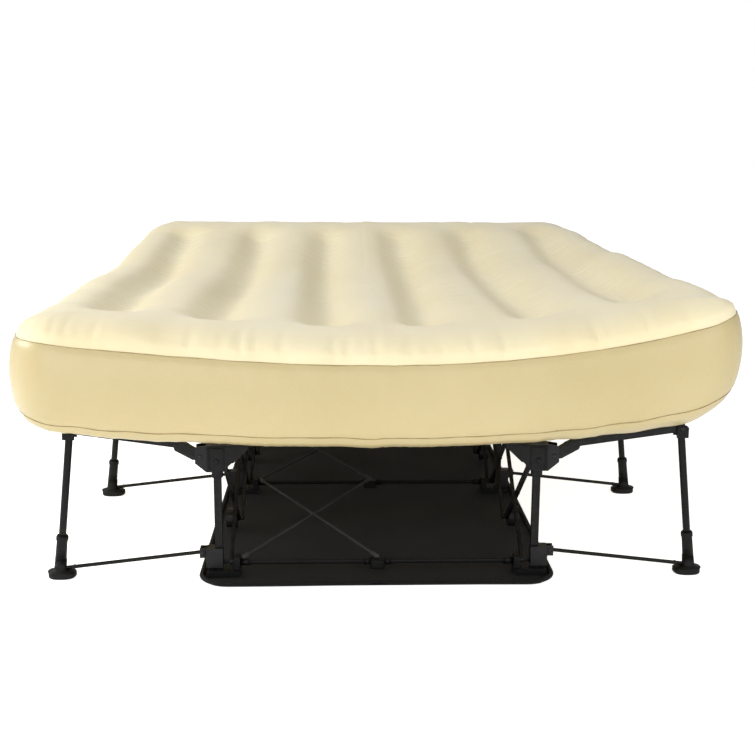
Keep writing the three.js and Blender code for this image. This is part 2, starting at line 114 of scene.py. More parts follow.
# ---- materials ----
class MaterialTree:
    """A material's node tree with short calls to add and join nodes."""

    def __init__(self, name):
        self.material = bpy.data.materials.new(name)
        self.material.use_nodes = True
        self.tree = self.material.node_tree
        self.surface = self.tree.nodes["Principled BSDF"]
        self.place = self.tree.nodes.new("ShaderNodeTexCoord").outputs["Object"]

    def add(self, kind, **inputs):
        node = self.tree.nodes.new("ShaderNode" + kind)
        for key, value in inputs.items():
            self.set(node.inputs[key.replace("_", " ")], value)
        return node

    def set(self, socket, value):
        if isinstance(value, bpy.types.NodeSocket):
            self.tree.links.new(value, socket)
        else:
            socket.default_value = value

    def noise(self, scale, detail=4.0, stretch=(1, 1, 1)):
        mapping = self.add("Mapping", Vector=self.place, Scale=stretch)
        node = self.add("TexNoise", Vector=mapping.outputs[0], Scale=scale, Detail=detail)
        return node.outputs["Fac"]

    def waves(self, scale, direction, distortion=0.4):
        node = self.add("TexWave", Vector=self.place, Scale=scale, Distortion=distortion)
        node.bands_direction = direction
        return node.outputs["Fac"]

    def mix(self, share, low, high):
        ramp = self.add("Mix")
        ramp.data_type = "RGBA"
        self.set(ramp.inputs[0], share)
        self.set(ramp.inputs[6], low)
        self.set(ramp.inputs[7], high)
        return ramp.outputs[2]

    def range(self, value, low, high, out_low, out_high):
        node = self.add("MapRange", Value=value)
        for key, number in (("From Min", low), ("From Max", high), ("To Min", out_low), ("To Max", out_high)):
            node.inputs[key].default_value = number
        return node.outputs[0]

    def combine(self, first, second, operation="ADD"):
        node = self.tree.nodes.new("ShaderNodeMath")
        node.operation = operation
        self.set(node.inputs[0], first)
        self.set(node.inputs[1], second)
        return node.outputs[0]

    def bump(self, height, strength, distance):
        node = self.add("Bump", Height=height, Strength=strength, Distance=distance)
        self.set(self.surface.inputs["Normal"], node.outputs[0])

    def look(self, **inputs):
        for key, value in inputs.items():
            self.set(self.surface.inputs[key.replace("_", " ")], value)
        return self.material


def rgb(red, green, blue):
    """A colour given as 0 to 255 on screen."""
    return tuple((v / 255) ** 2.2 for v in (red, green, blue)) + (1.0,)


def vinyl_look():
    """Tan vinyl of the side wall: satin, with faint clouding and soft waviness."""
    n = MaterialTree("vinyl")
    clouds = n.noise(3.0, 3.0)
    colour = n.mix(n.range(clouds, 0.3, 0.7, 0.0, 1.0), rgb(200, 183, 134), rgb(208, 191, 144))
    n.bump(n.combine(n.noise(9.0, 2.0), n.noise(420.0, 2.0)), 0.22, 0.004)
    roughness = n.range(n.noise(14.0), 0.3, 0.7, 0.3, 0.42)
    return n.look(Base_Color=colour, Roughness=roughness, Coat_Weight=0.18, Coat_Roughness=0.25,
                  Subsurface_Weight=0.08, Subsurface_Scale=0.01)


def flock_look():
    """Paler flocked top: dull, velvety, with brushed streaks."""
    n = MaterialTree("flock")
    brushed = n.noise(7.0, 5.0, (1.0, 0.35, 1.0))
    fibre = n.noise(900.0, 2.0)
    tone = n.combine(n.range(brushed, 0.3, 0.7, 0.0, 0.8), n.range(fibre, 0.3, 0.7, 0.0, 0.2))
    colour = n.mix(tone, rgb(247, 231, 185), rgb(255, 243, 203))
    n.bump(n.combine(fibre, n.noise(60.0, 3.0)), 0.35, 0.002)
    return n.look(Base_Color=colour, Roughness=0.92, Sheen_Weight=0.35, Sheen_Roughness=0.5)


def weld_look():
    """Darker pressed line of the welded seams."""
    n = MaterialTree("weld")
    colour = n.mix(n.range(n.noise(30.0), 0.35, 0.65, 0.0, 1.0), rgb(142, 124, 84), rgb(186, 166, 120))
    n.bump(n.noise(260.0), 0.3, 0.001)
    return n.look(Base_Color=colour, Roughness=0.5)


def steel_look():
    """Black powder coat: fine orange peel, a little worn on the edges."""
    n = MaterialTree("steel")
    edge = n.add("NewGeometry").outputs["Pointiness"]
    worn = n.range(n.combine(edge, n.range(n.noise(90.0), 0.3, 0.7, -0.03, 0.03)), 0.53, 0.6, 0.0, 0.6)
    colour = n.mix(worn, rgb(9, 9, 10), rgb(42, 42, 44))
    n.bump(n.noise(900.0, 2.0), 0.16, 0.0006)
    roughness = n.range(n.noise(40.0), 0.3, 0.7, 0.34, 0.5)
    return n.look(Base_Color=colour, Roughness=roughness, Metallic=0.1, Specular_IOR_Level=0.28)


def plastic_look():
    """Black moulded plastic with a spark-eroded grain."""
    n = MaterialTree("plastic")
    colour = n.mix(n.range(n.noise(25.0), 0.3, 0.7, 0.0, 1.0), rgb(7, 7, 8), rgb(13, 13, 14))
    n.bump(n.noise(1400.0, 3.0), 0.4, 0.0006)
    roughness = n.range(n.noise(120.0), 0.3, 0.7, 0.5, 0.66)
    return n.look(Base_Color=colour, Roughness=roughness, Specular_IOR_Level=0.28)


def nylon_look(name="nylon", dark=(8, 8, 9), light=(17, 17, 19)):
    """Plain-woven nylon: crossed threads, dusty sheen."""
    n = MaterialTree(name)
    threads = n.combine(n.waves(230.0, "X"), n.waves(230.0, "Y"), "MULTIPLY")
    tone = n.combine(n.range(threads, 0.0, 1.0, 0.0, 0.5), n.range(n.noise(5.0), 0.3, 0.7, 0.0, 0.5))
    n.bump(n.combine(threads, n.noise(26.0, 5.0, (1.0, 2.4, 1.0))), 0.45, 0.0022)
    return n.look(Base_Color=n.mix(tone, rgb(*dark), rgb(*light)), Roughness=0.72,
                  Sheen_Weight=0.04, Sheen_Roughness=0.4, Specular_IOR_Level=0.25)


def rivet_look():
    """Dull plated steel of rivet heads."""
    n = MaterialTree("rivet")
    colour = n.mix(n.range(n.noise(300.0), 0.3, 0.7, 0.0, 1.0), rgb(30, 30, 32), rgb(66, 66, 68))
    n.bump(n.noise(700.0), 0.2, 0.0004)
    return n.look(Base_Color=colour, Roughness=0.38, Metallic=0.9)


def floor_look():
    """A white sweep that glows faintly, and more so to the camera, so that it has no horizon."""
    n = MaterialTree("floor")
    colour = n.mix(n.noise(1.5), rgb(247, 247, 247), rgb(250, 250, 250))
    seen = n.add("LightPath").outputs["Is Camera Ray"]
    glow = n.range(seen, 0.0, 1.0, FLOOR_GLOW, FLOOR_GLOW_SEEN)
    return n.look(Base_Color=colour, Roughness=0.8, Emission_Color=(1, 1, 1, 1), Emission_Strength=glow)


LOOKS = {
    "vinyl": vinyl_look(), "flock": flock_look(), "weld": weld_look(), "steel": steel_look(),
    "plastic": plastic_look(), "nylon": nylon_look(), "cord": nylon_look("cord", (48, 48, 50), (84, 84, 87)),
    "rivet": rivet_look(), "floor": floor_look(),
}


# ---- mesh helpers ----
def make_piece(name, vertices, faces, looks, face_looks=None):
    """A new object from points and faces. face_looks gives each face's index into looks."""
    mesh = bpy.data.meshes.new(name)
    mesh.from_pydata([tuple(v) for v in vertices], [], [tuple(int(i) for i in f) for f in faces])
    for look in looks:
        mesh.materials.append(LOOKS[look])
    if face_looks is not None:
        mesh.polygons.foreach_set("material_index", np.asarray(face_looks, np.int32))
    mesh.polygons.foreach_set("use_smooth", np.full(len(mesh.polygons), True))
    mesh.update()
    made = bpy.data.objects.new(name, mesh)
    bpy.context.scene.collection.objects.link(made)
    return made


class Shape:
    """Collects several closed forms into one mesh."""

    def __init__(self):
        self.points, self.faces = [], []

    def loft(self, rings, closed=False):
        """Joins rings of equal length. Open lofts get a cap at each end."""
        count, start = len(rings[0]), len(self.points)
        for ring in rings:
            self.points.extend(tuple(p) for p in ring)
        last = len(rings) if closed else len(rings) - 1
        for r in range(last):
            low, high = start + r * count, start + (r + 1) % len(rings) * count
            for i in range(count):
                j = (i + 1) % count
                self.faces.append((low + i, low + j, high + j, high + i))
        if not closed:
            self.faces.append(tuple(range(start + count - 1, start - 1, -1)))
            self.faces.append(tuple(range(start + (len(rings) - 1) * count, start + len(rings) * count)))
        return self

    def tube(self, path, radius, sides=10, closed=False, flat=1.0):
        """A round or flattened tube along a path of points."""
        path = [Vector(p) for p in path]
        radii = radius if isinstance(radius, (list, tuple)) else [radius] * len(path)
        rings = []
        for i, point in enumerate(path):
            before = path[i - 1] if i or closed else point
            after = path[(i + 1) % len(path)] if i < len(path) - 1 or closed else point
            along = (after - before).normalized()
            side = along.cross(Vector((0, 0, 1)))
            side = side.normalized() if side.length > 1e-4 else Vector((1, 0, 0))
            up = side.cross(along).normalized()
            turns = [2 * math.pi * k / sides for k in range(sides)]
            rings.append([point + radii[i] * (side * math.cos(t) + up * math.sin(t) * flat) for t in turns])
        return self.loft(rings, closed)

    def head(self, centre, axis, radius, height, sides=14):
        """A domed rivet head that stands on a face."""
        axis, centre = Vector(axis).normalized(), Vector(centre)
        side = axis.orthogonal().normalized()
        other = axis.cross(side)
        profile = ((1.0, 0.0), (1.0, 0.35), (0.8, 0.75), (0.45, 0.96), (0.12, 1.0))
        rings = []
        for share, rise in profile:
            turns = [2 * math.pi * k / sides for k in range(sides)]
            rings.append([centre + axis * height * rise + radius * share * (
                side * math.cos(t) + other * math.sin(t)) for t in turns])
        return self.loft(rings)

    def plate(self, outline, y0, y1, chamfer=0.0012):
        """An outline of (x, z) points made into a plate with chamfered rims, from y0 to y1."""
        centre = Vector((sum(p[0] for p in outline), 0, sum(p[1] for p in outline))) / len(outline)

        def ring(y, trim):
            points = [Vector((x, y, z)) for x, z in outline]
            return [p + (Vector((centre.x, y, centre.z)) - p).normalized() * trim for p in points]

        return self.loft([ring(y0, chamfer), ring(y0 + chamfer, 0), ring(y1 - chamfer, 0), ring(y1, chamfer)])

    def piece(self, name, look, body, slot, soft=False):
        """Makes the forms into one named piece that rides on a body. Hard ones get crisp shading."""
        made = make_piece(name, self.points, self.faces, [look])
        if not soft:
            made.modifiers.new("normals", "WEIGHTED_NORMAL")
        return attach(made, body)


# ---- mattress ----
def lean(x):
    """How much higher the mattress stands at this X than in the middle."""
    return LEAN * (x / HALF_X) ** 3


def seam_heights(x, y):
    """The heights of the bottom seam, without its lean, and of the top seam at a point."""
    sag = (x / HALF_X) ** 2
    foot = SEAM_HIGH + SEAM_RISE * sag + lean(x)
    top = foot + (HEAD_HIGH - foot) * ease(y, HEAD_FROM, HEAD_TO)
    return SEAM_LOW + SEAM_RISE * (0.64 * sag + 0.32 * sag**4), top


def inset(x, y):
    """How far a point lies inside the mattress's rounded outline."""
    qx = np.abs(x) - (HALF_X - CORNER_R)
    qy = np.abs(y) - (HALF_Y - CORNER_R)
    outside = np.hypot(np.maximum(qx, 0), np.maximum(qy, 0))
    return CORNER_R - outside - np.minimum(np.maximum(qx, qy), 0)


def round_corners(x, y):
    """Pulls the square corners of a grid onto the rounded outline."""
    dx = np.maximum(np.abs(x) - (HALF_X - CORNER_R), 0)
    dy = np.maximum(np.abs(y) - (HALF_Y - CORNER_R), 0)
    reach = np.hypot(dx, dy)
    pull = np.where(reach > 0, np.maximum(dx, dy) / np.maximum(reach, 1e-9), 1.0)
    corner = (dx > 0) & (dy > 0)
    new_x = np.where(corner, np.sign(x) * (HALF_X - CORNER_R + dx * pull), x)
    new_y = np.where(corner, np.sign(y) * (HALF_Y - CORNER_R + dy * pull), y)
    return new_x, new_y


def ripple(along, wavelengths, seed):
    """A fixed irregular wave along the seam, between about -1 and 1."""
    draw = np.random.default_rng(seed)
    total = np.zeros_like(along)
    for length in wavelengths:
        swell = 0.6 + 0.4 * np.sin(2 * np.pi * along / (length * 7.3) + draw.uniform(0, 6.3))
        total += swell * np.sin(2 * np.pi * along / length + draw.uniform(0, 6.3))
    return total / len(wavelengths)


def ease(value, start, end):
    """A soft step from 0 at the start to 1 at the end."""
    t = np.clip((value - start) / (end - start), 0, 1)
    return t * t * (3 - 2 * t)


def dome(depth, reach):
    """Rises from 0 at the seam to 1 at the reach, steep at first."""
    t = np.clip(depth / reach, 0, 1)
    return np.sqrt(np.maximum(1 - (1 - t) ** 2, 0))


def perimeter_place(x, y):
    """A length along the outline that wrinkles near the seam can follow."""
    return np.where(HALF_Y - np.abs(y) < HALF_X - np.abs(x), x, y) + 0.37 * np.sign(y) + 0.21 * np.sign(x)


def near_seam(depth, start, fade):
    """Nothing at the seam, most at the start depth, then fading away inwards."""
    return ease(depth, 0.0, start) * np.exp(-depth / fade)


SEAM_WAVE_TOP, SEAM_WAVE_BOTTOM = 0.0024, 0.0026  # heights of the seams' own waves
CHANNEL_ENDS = (0.17, 0.34)  # distances from the mattress's ends over which the grooves begin
CHANNEL_WANDER = 0.006  # how far the grooves stray sideways
TOP_SWELL = 0.0035
TOP_PUCKER, TOP_PUCKER_START, TOP_PUCKER_FADE = 0.0105, 0.012, 0.052
TOP_FOLD, TOP_FOLD_START, TOP_FOLD_FADE = 0.005, 0.03, 0.11
UNDER_PUCKER, UNDER_PUCKER_START, UNDER_PUCKER_FADE = 0.004, 0.012, 0.04


def top_surface(x, y):
    """Heights of the flocked top: a crown with grooves, gathered along its seam."""
    depth = inset(x, y)
    place = perimeter_place(x, y)
    seam = seam_heights(x, y)[1] + SEAM_WAVE_TOP * np.abs(ripple(place, (0.31, 0.17), 5))
    height = CROWN * dome(depth, CROWN_REACH)
    ends = ease(HALF_Y - np.abs(y), *CHANNEL_ENDS)
    pleats = ripple(y + 0.12 * x, (0.058, 0.037, 0.026), 29)
    for channel in CHANNELS:
        wander = CHANNEL_WANDER * np.sin(3.1 * y + 9 * channel)
        valley = np.exp(-(((np.abs(x) - channel - wander) / CHANNEL_WIDTH) ** 2))
        height += (PLEAT * pleats - CHANNEL_DEPTH) * valley * ends
    height += TOP_SWELL * np.sin(9.0 * y + 3.0 * x) * ends
    creases = np.abs(ripple(place, (0.133, 0.077, 0.043), 11)) ** 1.6
    height -= TOP_PUCKER * creases * near_seam(depth, TOP_PUCKER_START, TOP_PUCKER_FADE)
    folds = ripple(place, (0.34, 0.19), 23)
    height += TOP_FOLD * folds * near_seam(depth, TOP_FOLD_START, TOP_FOLD_FADE)
    return seam + height


def bottom_surface(x, y):
    """Heights of the underside, which hangs below its seam."""
    depth = inset(x, y)
    place = perimeter_place(x, y)
    seam = seam_heights(x, y)[0] + lean(x) * (1 - ease(depth, 0.0, LEAN_REACH))
    seam = seam + SEAM_WAVE_BOTTOM * ripple(place, (0.26, 0.11), 7)
    creases = np.abs(ripple(place, (0.09, 0.05), 17))
    puckers = UNDER_PUCKER * creases * near_seam(depth, UNDER_PUCKER_START, UNDER_PUCKER_FADE)
    return seam - BELLY * dome(depth, BELLY_REACH) + puckers


def grid_line(*marks):
    """Evenly spaced values with one exactly at each mark."""
    spans = [np.linspace(a, b, round((b - a) / CELL) + 1)[:-1] for a, b in zip(marks, marks[1:])]
    return np.concatenate(spans + [[marks[-1]]])


WALL_WRINKLE, WALL_SWELL = 0.0021, 0.0022  # heights of the wall's short and long waves
WALL_HEIGHT = 0.17  # about the distance between the seams, for how far the short waves reach


def mattress_mesh():
    """All points, faces and face looks of the mattress: flocked top 0, vinyl 1."""
    across = grid_line(-HALF_X, -SPLIT_X, SPLIT_X, HALF_X)
    along = grid_line(-HALF_Y, HALF_Y)
    nx, ny = len(across), len(along)
    gx, gy = round_corners(*np.meshgrid(across, along, indexing="ij"))
    index = np.arange(nx * ny).reshape(nx, ny)
    top = np.stack([gx, gy, top_surface(gx, gy)], -1).reshape(-1, 3)
    bottom = np.stack([gx, gy, bottom_surface(gx, gy)], -1).reshape(-1, 3)
    edge = np.concatenate([index[:, 0], index[-1, 1:], index[-2::-1, -1], index[0, -2:0:-1]])
    ring = top[edge]
    normal = outline_normals(ring[:, :2])
    place = perimeter_place(ring[:, 0], ring[:, 1])
    rows = []
    for step in range(1, WALL_STEPS):
        share = step / WALL_STEPS
        out = BULGE * math.sin(math.pi * share) ** 0.6
        from_seam = min(share, 1 - share) * WALL_HEIGHT
        wrinkle = ripple(place, (0.12, 0.07, 0.05), 31 if share < 0.5 else 37)
        out = out + WALL_WRINKLE * wrinkle * math.exp(-from_seam / 0.022) * min(1, from_seam / 0.01)
        out = out + WALL_SWELL * ripple(place, (0.55, 0.31), 41) * math.sin(math.pi * share)
        z = bottom[edge, 2] * share + ring[:, 2] * (1 - share)
        rows.append(np.column_stack([ring[:, :2] + normal * np.asarray(out)[:, None], z]))
    points = np.concatenate([top, bottom] + rows)
    quads = np.stack([index[:-1, :-1], index[1:, :-1], index[1:, 1:], index[:-1, 1:]], -1).reshape(-1, 4)
    lower = quads[:, ::-1] + len(top)
    loops = [edge] + [2 * len(top) + np.arange(len(edge)) + k * len(edge) for k in range(len(rows))]
    loops.append(edge + len(top))
    wall = []
    for upper, under in zip(loops[:-1], loops[1:]):
        wall.append(np.stack([upper, under, np.roll(under, -1), np.roll(upper, -1)], -1))
    faces = np.concatenate([quads, lower] + wall)
    looks = np.concatenate([np.zeros(len(quads), int), np.ones(len(faces) - len(quads), int)])
    return points, faces, looks, edge, len(top)


def outline_normals(ring):
    """Outward normals of a closed outline that runs anticlockwise."""
    along = np.roll(ring, -1, 0) - np.roll(ring, 1, 0)
    normal = np.column_stack([along[:, 1], -along[:, 0]])
    return normal / np.linalg.norm(normal, axis=1)[:, None]


def smooth_normals(points, faces):
    """The whole mattress's normals at its points, so that the strips shade as one surface."""
    a, b, c, d = (points[faces[:, k]] for k in range(4))
    flat = np.cross(c - a, d - b)
    normals = np.zeros_like(points)
    for k in range(4):
        np.add.at(normals, faces[:, k], flat)
    return normals / np.maximum(np.linalg.norm(normals, axis=1), 1e-12)[:, None]


def boundary_loops(faces):
    """The open edges of a sheet, chained into closed loops that face outwards."""
    edges = np.concatenate([faces[:, [k, (k + 1) % 4]] for k in range(4)])
    known = set(map(tuple, edges.tolist()))
    following = {b: a for a, b in known if (b, a) not in known}
    loops = []
    while following:
        here = next(iter(following))
        loop = []
        while here in following:
            loop.append(here)
            here = following.pop(here)
        loops.append(loop)
    return loops


def weld_paths(ring, low_x, high_x):
    """The parts of a seam between two X values, each as points and radii that swell along the way."""
    place = perimeter_place(ring[:, 0], ring[:, 1])
    radius = WELD_R * (0.85 + 0.45 * ripple(place, (0.37, 0.15), 43))
    path = ring.copy()
    path[:, :2] += outline_normals(ring[:, :2]) * WELD_R * 0.6
    inside = (ring[:, 0] >= low_x - 1e-6) & (ring[:, 0] <= high_x + 1e-6)
    turn = int(np.argmin(inside))
    order = np.roll(np.arange(len(ring)), -turn)
    runs = np.split(order, np.flatnonzero(np.diff(inside[order].astype(int))) + 1)
    return [(path[run], radius[run].tolist()) for run in runs if inside[run[0]] and len(run) > 1]


def mattress():
    """Cuts the mattress into its strips, each with its share of the welded seams."""
    points, faces, looks, edge, top_count = mattress_mesh()
    normals = smooth_normals(points, faces)
    centre_x = points[faces, 0].mean(1)
    for name, (low_x, high_x, body) in STRIPS.items():
        chosen = (centre_x > low_x) & (centre_x < high_x)
        used, local = np.unique(faces[chosen], return_inverse=True)
        local = local.reshape(-1, 4)
        caps = boundary_loops(local)
        strip = make_piece(f"mattress_{name}", points[used], local.tolist() + caps, ["flock", "vinyl"],
                           looks[chosen].tolist() + [1] * len(caps))
        corners = [tuple(normals[used[i]]) for face in local for i in face]
        for cap in list(strip.data.polygons)[len(local):]:
            corners += [tuple(cap.normal)] * len(cap.vertices)
        strip.data.normals_split_custom_set(corners)
        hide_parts("mattress_bladder")
        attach(strip, body)
        shape = Shape()
        for ring in (points[edge], points[edge + top_count]):
            for path, radius in weld_paths(ring, low_x, high_x):
                shape.tube(path, radius, 6, flat=0.6)
        welds = shape.piece(f"welds_{name}", "weld", body, "vinyl", soft=True)
        fold_along(strip)
        fold_along(welds)


# ---- ground sheet ----
SHEET_HALF_X, SHEET_HALF_Y, SHEET_CORNER, SHEET_Z = 0.389, 0.969, 0.064, 0.0016
SHEET_THICK, SHEET_RINGS = 0.0012, 34
CRUMPLE = 0.0017  # height of the cloth's wrinkles
BINDING_R, BINDING_Z, BINDING_DROOP = 0.005, 0.0052, 0.0022
NOTCH, NOTCH_WIDTH = 0.007, 0.02  # the binding's dent in the middle of the foot end


def rounded_outline(half_x, half_y, corner, per_corner=10, per_side=24):
    """Points round a rectangle with rounded corners, anticlockwise."""
    points = []
    for turn in range(4):
        sx, sy = ((1, 1), (-1, 1), (-1, -1), (1, -1))[turn]
        cx, cy = sx * (half_x - corner), sy * (half_y - corner)
        for k in range(per_corner + 1):
            angle = math.pi / 2 * (turn + k / per_corner)
            points.append((cx + corner * math.cos(angle), cy + corner * math.sin(angle)))
        ahead = ((-1, 1), (-1, -1), (1, -1), (1, 1))[turn]
        nx, ny = ahead[0] * (half_x - corner), ahead[1] * (half_y - corner)
        x0, y0 = points[-1]
        x1, y1 = (nx, y0) if turn % 2 == 0 else (x0, ny)
        for k in range(1, per_side):
            share = k / per_side
            points.append((x0 + (x1 - x0) * share, y0 + (y1 - y0) * share))
    return points


def ground_sheet():
    """A thin cloth with soft wrinkles and a bound, padded edge."""
    outline = rounded_outline(SHEET_HALF_X, SHEET_HALF_Y, SHEET_CORNER)
    points, faces = [], []
    for r in range(SHEET_RINGS + 1):
        share = 1 - r / (SHEET_RINGS + 1)
        for x, y in outline:
            px, py = x * share, y * share
            folds = math.sin(17 * px + 5 * math.sin(6 * py)) + math.sin(11 * py + 4 * math.sin(9 * px))
            height = CRUMPLE * (1 + folds / 2) * min(1, 6 * (1 - share))
            points.append((px, py, SHEET_Z + height))
    count = len(outline)
    for r in range(SHEET_RINGS):
        for i in range(count):
            j = (i + 1) % count
            faces.append((r * count + i, r * count + j, (r + 1) * count + j, (r + 1) * count + i))
    faces.append(tuple(SHEET_RINGS * count + i for i in range(count)))
    cloth = make_piece("sheet_cloth", points, faces, ["nylon"])
    thick = cloth.modifiers.new("thickness", "SOLIDIFY")
    thick.thickness, thick.offset = SHEET_THICK, -1
    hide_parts("ground_sheet")
    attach(cloth, "base")
    path = []
    for x, y in outline:
        notch = NOTCH * math.exp(-((x / NOTCH_WIDTH) ** 2)) * (y < 0)
        droop = BINDING_DROOP * math.sin(9 * x + 1) * (abs(y) > SHEET_HALF_Y - 0.01)
        path.append((x, y + notch + droop, BINDING_Z))
    rim = Shape().tube(path, BINDING_R, 10, closed=True, flat=0.9)
    binding = rim.piece("sheet_binding", "nylon", "base", "nylon", soft=True)
    fold_along(cloth)
    fold_along(binding)


# ---- floor crosses ----
CROSS_Z, CROSS_R = 0.040, 0.003
CROSS_LIFT, CROSS_STEPS = 0.0012, 16  # how far one cord dips and the other rises where they meet
CROSS_IN = 0.004  # from the ends of the CAD's cross to the ends of the cords
SOCKET_R, SOCKET_BACK, SOCKET_AHEAD = 0.0052, 0.004, 0.022  # the sleeve on each end of a cord
BUTTON_R, BUTTON_HEIGHT, BUTTON_Z = 0.0075, 0.0055, CROSS_Z - 0.0005
# Which body each cross rides on, and an anchor Y for it.
CROSS_BODY = {1: ("base_rail_1", -0.9), 2: ("base_rail_3", 0.3), 3: ("base_rail_4", 0.9)}


def floor_crosses():
    """Two crossed cords with end sleeves and a button in the middle, in each bay that has them."""
    for number, (body, anchor_y) in CROSS_BODY.items():
        low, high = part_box(f"elastic_cross_{number}")
        left, right = low.x + CROSS_IN, high.x - CROSS_IN
        front, back = low.y + CROSS_IN, high.y - CROSS_IN
        shape = Shape()
        for (y0, y1), lift in (((front, back), -CROSS_LIFT), ((back, front), CROSS_LIFT)):
            ends = Vector((left, y0, CROSS_Z)), Vector((right, y1, CROSS_Z))
            path = [ends[0].lerp(ends[1], k / CROSS_STEPS) for k in range(CROSS_STEPS + 1)]
            for k, point in enumerate(path):
                point.z += lift * math.sin(math.pi * k / CROSS_STEPS)
            shape.tube(path, CROSS_R, 8)
            for end, towards in (ends, ends[::-1]):
                along = (towards - end).normalized()
                shape.tube([end - along * SOCKET_BACK, end + along * SOCKET_AHEAD], SOCKET_R, 10)
        middle = Vector(((left + right) / 2, (front + back) / 2, BUTTON_Z))
        shape.head(middle, (0, 0, 1), BUTTON_R, BUTTON_HEIGHT)
        made = shape.piece(f"floor_cross_{number}", "cord", body, "cord", soft=True)
        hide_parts(f"elastic_cross_{number}")
        fold_along(made)


# ---- outer legs ----
ARM_TIP = Vector((0.665, 0, 0.335))
FOOT = Vector((0.702, 0, 0.008))
PAD_X = 0.696
LEG_LEAN = (FOOT.x - ARM_TIP.x) / (ARM_TIP.z - FOOT.z)
LEG_TUBE_R, LEG_TUBE_FROM, LEG_TUBE_TO = 0.0082, 0.0195, 0.262  # from and to are drops below the arm's tip
# The foot from the floor up: height, and half-sizes along X and Y. The pad's rings share one centre.
FOOT_RINGS = ((0.0, 0.028, 0.023), (0.002, 0.030, 0.024), (0.010, 0.030, 0.024), (0.0135, 0.027, 0.021),
              (0.0165, 0.0155, 0.015), (0.021, 0.0132, 0.0132), (0.040, 0.0125, 0.0125))
PAD_TOP = 0.012
BOSS_IN, BOSS_Z = 0.0015, 0.017  # the boss above the pad leans with the leg from this height
# The sleeve above the foot: its drop below the arm's tip and its radius.
LEG_SLEEVE = ((0.298, 0.0125), (0.262, 0.0118), (0.252, 0.0118), (0.250, 0.0132), (0.242, 0.0132),
              (0.239, 0.0115))
# The fork, all measured from the arm's tip.
FORK_IN, FORK_OUT, FORK_UP, FORK_DOWN = 0.012, 0.014, 0.0075, 0.0205
FORK_WEB_TOP, FORK_CORNER = 0.012, 0.005
WEB_LOW_IN, WEB_TOP_OUT = 0.0068, 0.0009  # the web's slanted inner face, which clears the folding arm
CHEEK_INNER, CHEEK_OUTER = 0.0118, 0.016


def leg_point(drop):
    """The point of the leg's axis that lies this far below the arm's tip."""
    return ARM_TIP + (FOOT - ARM_TIP) * (drop / (ARM_TIP.z - FOOT.z))


def ellipse(centre, half_x, half_y, z, sides=24, square=2.6):
    """A ring between an ellipse and a box, for moulded feet."""
    ring = []
    for k in range(sides):
        c, s = math.cos(2 * math.pi * k / sides), math.sin(2 * math.pi * k / sides)
        x = math.copysign(abs(c) ** (2 / square), c) * half_x
        y = math.copysign(abs(s) ** (2 / square), s) * half_y
        ring.append(Vector((centre + x, y, z)))
    return ring


def leg_shape(plastic):
    """The plastic foot and fork, or the steel tube, of a right-hand leg at y = 0."""
    shape = Shape()
    if not plastic:
        return shape.tube([leg_point(LEG_TUBE_FROM), leg_point(LEG_TUBE_TO)], LEG_TUBE_R, 16)
    rings = []
    for z, half_x, half_y in FOOT_RINGS:
        centre = PAD_X if z < PAD_TOP else FOOT.x - BOSS_IN - (z - BOSS_Z) * LEG_LEAN
        rings.append(ellipse(centre, half_x, half_y, z))
    shape.loft(rings)
    shape.tube([leg_point(drop) for drop, _ in LEG_SLEEVE], [radius for _, radius in LEG_SLEEVE], 18)
    x0, x1 = ARM_TIP.x - FORK_IN, ARM_TIP.x + FORK_OUT
    top, web, low = ARM_TIP.z + FORK_UP, ARM_TIP.z - FORK_WEB_TOP, ARM_TIP.z - FORK_DOWN
    for side in (-1, 1):
        y0, y1 = sorted((side * CHEEK_INNER, side * CHEEK_OUTER))
        shape.plate([(x0, low), (x1, low), (x1, top - FORK_CORNER), (x1 - FORK_CORNER, top),
                     (x0 + FORK_CORNER, top), (x0, top - FORK_CORNER)], y0, y1, 0.001)
    web_low, web_high = ARM_TIP.x - WEB_LOW_IN, ARM_TIP.x + WEB_TOP_OUT
    shape.plate([(web_low, low), (x1, low), (x1, web), (web_high, web)], -CHEEK_INNER, CHEEK_INNER, 0.0005)
    return shape


def placed(shape, sign, y):
    """The same shape on the right or left side, at a station."""
    shape.points = [(sign * p[0], p[1] + y, p[2]) for p in shape.points]
    if sign < 0:
        shape.faces = [tuple(reversed(f)) for f in shape.faces]
    return shape


def legs():
    """Each leg's plastic foot and fork, and its steel tube."""
    for side, sign in SIDES:
        for station in STATIONS:
            body = f"leg_{side}_{station}"
            y = middle_y(body)
            shape = placed(leg_shape(True), sign, y)
            foot = shape.piece(f"foot_{side}_{station}", "plastic", body, "plastic")
            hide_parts(body)
            placed(leg_shape(False), sign, y).piece(f"tube_{side}_{station}", "steel", body, "steel")


# ---- fittings on the posts ----
POST_X = 0.350
FACE_INNER, FACE_OUTER = 0.0168, 0.0188  # the raised faces' distances from the middle of the bracket
# A face's outline as X and Z: square above the post, slanting in under the mattress.
FACE_OUTLINE = [(0.3705, 0.300), (0.3705, 0.2435), (0.3285, 0.2435), (0.3285, 0.2515), (0.285, 0.292),
                (0.285, 0.300)]
TOP_RIB_X, TOP_RIB_Z, TOP_RIB_R = (0.334, 0.367), 0.2955, 0.0018
SIDE_RIB_X, SIDE_RIB_Z, SIDE_RIB_R = (0.334, 0.366), (0.248, 0.293), 0.0016
BRACKET_PIN_Y, BRACKET_PIN_Z, BRACKET_PIN_R, BRACKET_PIN_RISE = 0.0186, 0.266, 0.006, 0.003
COLLAR_HALF, COLLAR_Z = 0.0118, (0.228, 0.230, 0.240, 0.2425)


